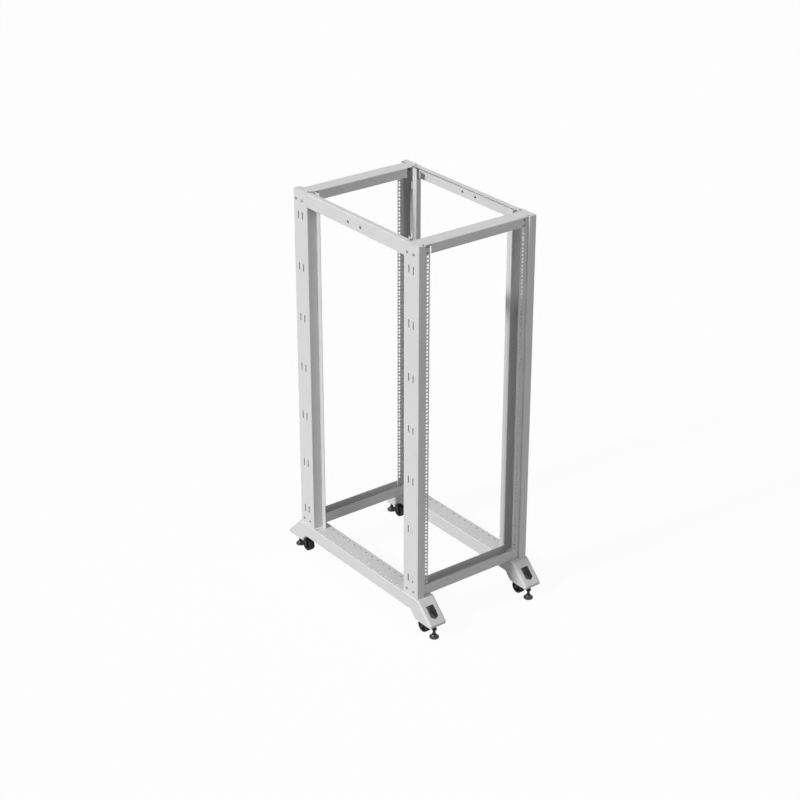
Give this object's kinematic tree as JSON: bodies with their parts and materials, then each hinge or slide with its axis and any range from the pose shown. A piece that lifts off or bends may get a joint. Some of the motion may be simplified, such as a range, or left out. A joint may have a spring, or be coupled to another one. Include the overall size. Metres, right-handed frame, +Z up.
{
  "type": "four post open frame rack",
  "caption": "Open frame rack for 19 inch equipment: four folded posts with square holes on a base with castors and levelling feet.",
  "frame": {"origin": "on the floor, under the middle of the frame", "axes": "+Z up; +X to the rack's right as seen from the front; -Y out of the front"},
  "size_m": [0.5832, 1, 1.6714],
  "materials": {
    "grey_paint": "satin light grey powder coat",
    "plated_steel": "dark zinc plate",
    "black_plastic": "moulded black plastic",
    "black_tyre": "black wheel"
  },
  "bodies": {
    "frame": {"base_bar_front": "grey_paint", "base_bar_rear": "grey_paint", "base_beam_left": "grey_paint", "base_beam_right": "grey_paint", "castor_mount_front_left": "plated_steel", "castor_mount_front_right": "plated_steel", "castor_mount_rear_left": "plated_steel", "castor_mount_rear_right": "plated_steel", "foot_box_front_left": "grey_paint", "foot_box_front_right": "grey_paint", "foot_box_rear_left": "grey_paint", "foot_box_rear_right": "grey_paint", "post_front_left": "grey_paint", "post_front_right": "grey_paint", "post_rear_left": "grey_paint", "post_rear_right": "grey_paint", "top_bar_front": "grey_paint", "top_bar_rear": "grey_paint", "top_side_bar_left": "grey_paint", "top_side_bar_right": "grey_paint"},
    "levelling_foot_front_left": {"levelling_stud_front_left": "plated_steel", "levelling_pad_front_left": "black_plastic"},
    "castor_front_left": {"castor_fork_front_left": "black_plastic", "castor_axle_front_left": "plated_steel"},
    "wheel_front_left": {"castor_wheel_front_left": "black_tyre"},
    "levelling_foot_front_right": {"levelling_stud_front_right": "plated_steel", "levelling_pad_front_right": "black_plastic"},
    "castor_front_right": {"castor_fork_front_right": "black_plastic", "castor_axle_front_right": "plated_steel"},
    "wheel_front_right": {"castor_wheel_front_right": "black_tyre"},
    "levelling_foot_rear_left": {"levelling_stud_rear_left": "plated_steel", "levelling_pad_rear_left": "black_plastic"},
    "castor_rear_left": {"castor_fork_rear_left": "black_plastic", "castor_axle_rear_left": "plated_steel"},
    "wheel_rear_left": {"castor_wheel_rear_left": "black_tyre"},
    "levelling_foot_rear_right": {"levelling_stud_rear_right": "plated_steel", "levelling_pad_rear_right": "black_plastic"},
    "castor_rear_right": {"castor_fork_rear_right": "black_plastic", "castor_axle_rear_right": "plated_steel"},
    "wheel_rear_right": {"castor_wheel_rear_right": "black_tyre"}
  },
  "joints": [
    {"name": "levelling_front_left", "type": "slide", "parent": "frame", "child": "levelling_foot_front_left", "axis": [0, 0, -1], "range_m": [-0.005, 0.012]},
    {"name": "swivel_front_left", "type": "hinge", "parent": "frame", "child": "castor_front_left", "pos_m": [-0.24955, -0.418, 0.06], "axis": [0, 0, 1], "continuous": true},
    {"name": "roll_front_left", "type": "hinge", "parent": "castor_front_left", "child": "wheel_front_left", "pos_m": [-0.24955, -0.4105, 0.0285], "axis": [1, 0, 0], "continuous": true},
    {"name": "levelling_front_right", "type": "slide", "parent": "frame", "child": "levelling_foot_front_right", "axis": [0, 0, -1], "range_m": [-0.005, 0.012]},
    {"name": "swivel_front_right", "type": "hinge", "parent": "frame", "child": "castor_front_right", "pos_m": [0.24955, -0.418, 0.06], "axis": [0, 0, 1], "continuous": true},
    {"name": "roll_front_right", "type": "hinge", "parent": "castor_front_right", "child": "wheel_front_right", "pos_m": [0.24955, -0.4105, 0.0285], "axis": [1, 0, 0], "continuous": true},
    {"name": "levelling_rear_left", "type": "slide", "parent": "frame", "child": "levelling_foot_rear_left", "axis": [0, 0, -1], "range_m": [-0.005, 0.012]},
    {"name": "swivel_rear_left", "type": "hinge", "parent": "frame", "child": "castor_rear_left", "pos_m": [-0.24955, 0.418, 0.06], "axis": [0, 0, 1], "continuous": true},
    {"name": "roll_rear_left", "type": "hinge", "parent": "castor_rear_left", "child": "wheel_rear_left", "pos_m": [-0.24955, 0.4105, 0.0285], "axis": [1, 0, 0], "continuous": true},
    {"name": "levelling_rear_right", "type": "slide", "parent": "frame", "child": "levelling_foot_rear_right", "axis": [0, 0, -1], "range_m": [-0.005, 0.012]},
    {"name": "swivel_rear_right", "type": "hinge", "parent": "frame", "child": "castor_rear_right", "pos_m": [0.24955, 0.418, 0.06], "axis": [0, 0, 1], "continuous": true},
    {"name": "roll_rear_right", "type": "hinge", "parent": "castor_rear_right", "child": "wheel_rear_right", "pos_m": [0.24955, 0.4105, 0.0285], "axis": [1, 0, 0], "continuous": true}
  ]
}
